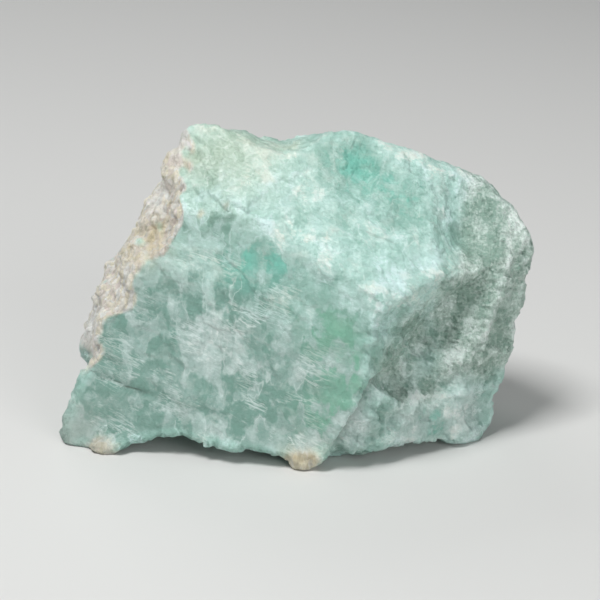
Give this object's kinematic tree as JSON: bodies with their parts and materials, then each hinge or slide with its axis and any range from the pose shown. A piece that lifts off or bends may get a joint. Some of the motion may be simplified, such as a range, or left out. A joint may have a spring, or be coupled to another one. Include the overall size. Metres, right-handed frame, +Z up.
{
  "type": "raw amazonite specimen",
  "caption": "Rough-broken lump of blue-green amazonite feldspar with flat cleavage faces, milky veins and a pale grainy crust; a display stone that rests on its broken base.",
  "frame": {"origin": "middle of the stone's bounding box in plan, level with its base on the floor", "axes": "+X along the stone's length, from the grainy crust to the swollen end; -Y is the side with the broad cleavage face; +Z is up"},
  "size_m": [0.0992, 0.056, 0.0667],
  "materials": {
    "stone": "dull pearly break, rough"
  },
  "bodies": {
    "root": {"amazonite": "stone"}
  },
  "joints": []
}
